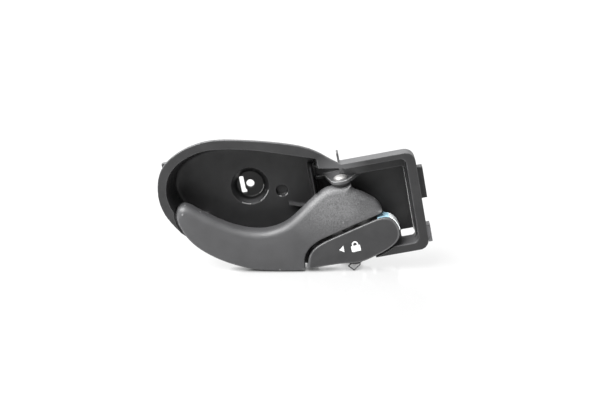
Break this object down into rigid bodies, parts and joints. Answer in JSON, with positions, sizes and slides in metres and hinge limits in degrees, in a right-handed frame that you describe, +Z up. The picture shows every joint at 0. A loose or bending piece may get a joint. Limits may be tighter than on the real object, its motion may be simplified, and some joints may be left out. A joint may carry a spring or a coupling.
{
  "type": "interior car door handle",
  "caption": "Moulded interior door handle tray with a finger bowl, a long pull lever and a short lock lever turning on one upright pin beside an open cable well.",
  "frame": {"origin": "centre of the fixing screw hole at the rear seat face", "axes": "+X towards the cable well, +Y into the door along the fixing screw, +Z up along the hinge pin"},
  "size_m": [0.159, 0.037, 0.0968],
  "materials": {
    "tray_plastic": "fine-grained moulded plastic, near black, satin inside the bowl",
    "lever_plastic": "dark grey grained plastic, worn smoother and paler around the hinge",
    "lock_plastic": "dark charcoal satin plastic with a printed white mark",
    "indicator_paint": "pale blue to white plastic insert",
    "pin_steel": "bright turned steel",
    "spring_steel": "drawn spring steel",
    "zinc_steel": "zinc-plated pressed steel",
    "natural_nylon": "natural nylon",
    "black_nylon": "black nylon",
    "buffer_rubber": "black rubber",
    "clip_plastic": "mid grey nylon"
  },
  "bodies": {
    "tray": {"bowl_tray": "tray_plastic", "well_tray": "tray_plastic", "hinge_pin": "pin_steel", "pin_clip": "spring_steel", "upper_bush": "natural_nylon", "lower_bush": "natural_nylon", "upper_washer": "black_nylon", "mid_washer": "black_nylon", "lower_washer": "black_nylon", "spring_sleeve": "natural_nylon", "return_spring": "spring_steel", "lever_buffer": "buffer_rubber", "detent_spring": "spring_steel", "lock_buffer": "buffer_rubber", "cable_bracket": "zinc_steel", "bracket_screws": "zinc_steel", "edge_clip": "clip_plastic"},
    "pull_lever": {"pull_lever": "lever_plastic"},
    "lock_lever": {"lock_lever": "lock_plastic", "lock_indicator": "indicator_paint"},
    "release_clip": {"release_cable_clip": "natural_nylon"},
    "lock_clip": {"lock_cable_clip": "natural_nylon"}
  },
  "joints": [
    {"name": "pull", "type": "hinge", "parent": "tray", "child": "pull_lever", "pos_m": [0.0565, -0.028, -0.015], "axis": [0, 0, 1], "range_deg": [0, 28], "stiffness_Nm_per_rad": 0.25, "springref_deg": -34.38, "deforming": ["return_spring"]},
    {"name": "lock", "type": "hinge", "parent": "tray", "child": "lock_lever", "pos_m": [0.0565, -0.028, -0.04], "axis": [0, 0, 1], "range_deg": [0, 13]},
    {"name": "release_clip_turn", "type": "hinge", "parent": "pull_lever", "child": "release_clip", "pos_m": [0.0565, -0.0055, -0.02], "axis": [0, 0, 1], "range_deg": [-29, 1]},
    {"name": "lock_clip_turn", "type": "hinge", "parent": "lock_lever", "child": "lock_clip", "pos_m": [0.0565, -0.0055, -0.044], "axis": [0, 0, 1], "range_deg": [-14, 1]}
  ],
  "couplings": [
    {"joint": "release_clip_turn", "follows": "pull", "ratio": -1},
    {"joint": "lock_clip_turn", "follows": "lock", "ratio": -1}
  ]
}
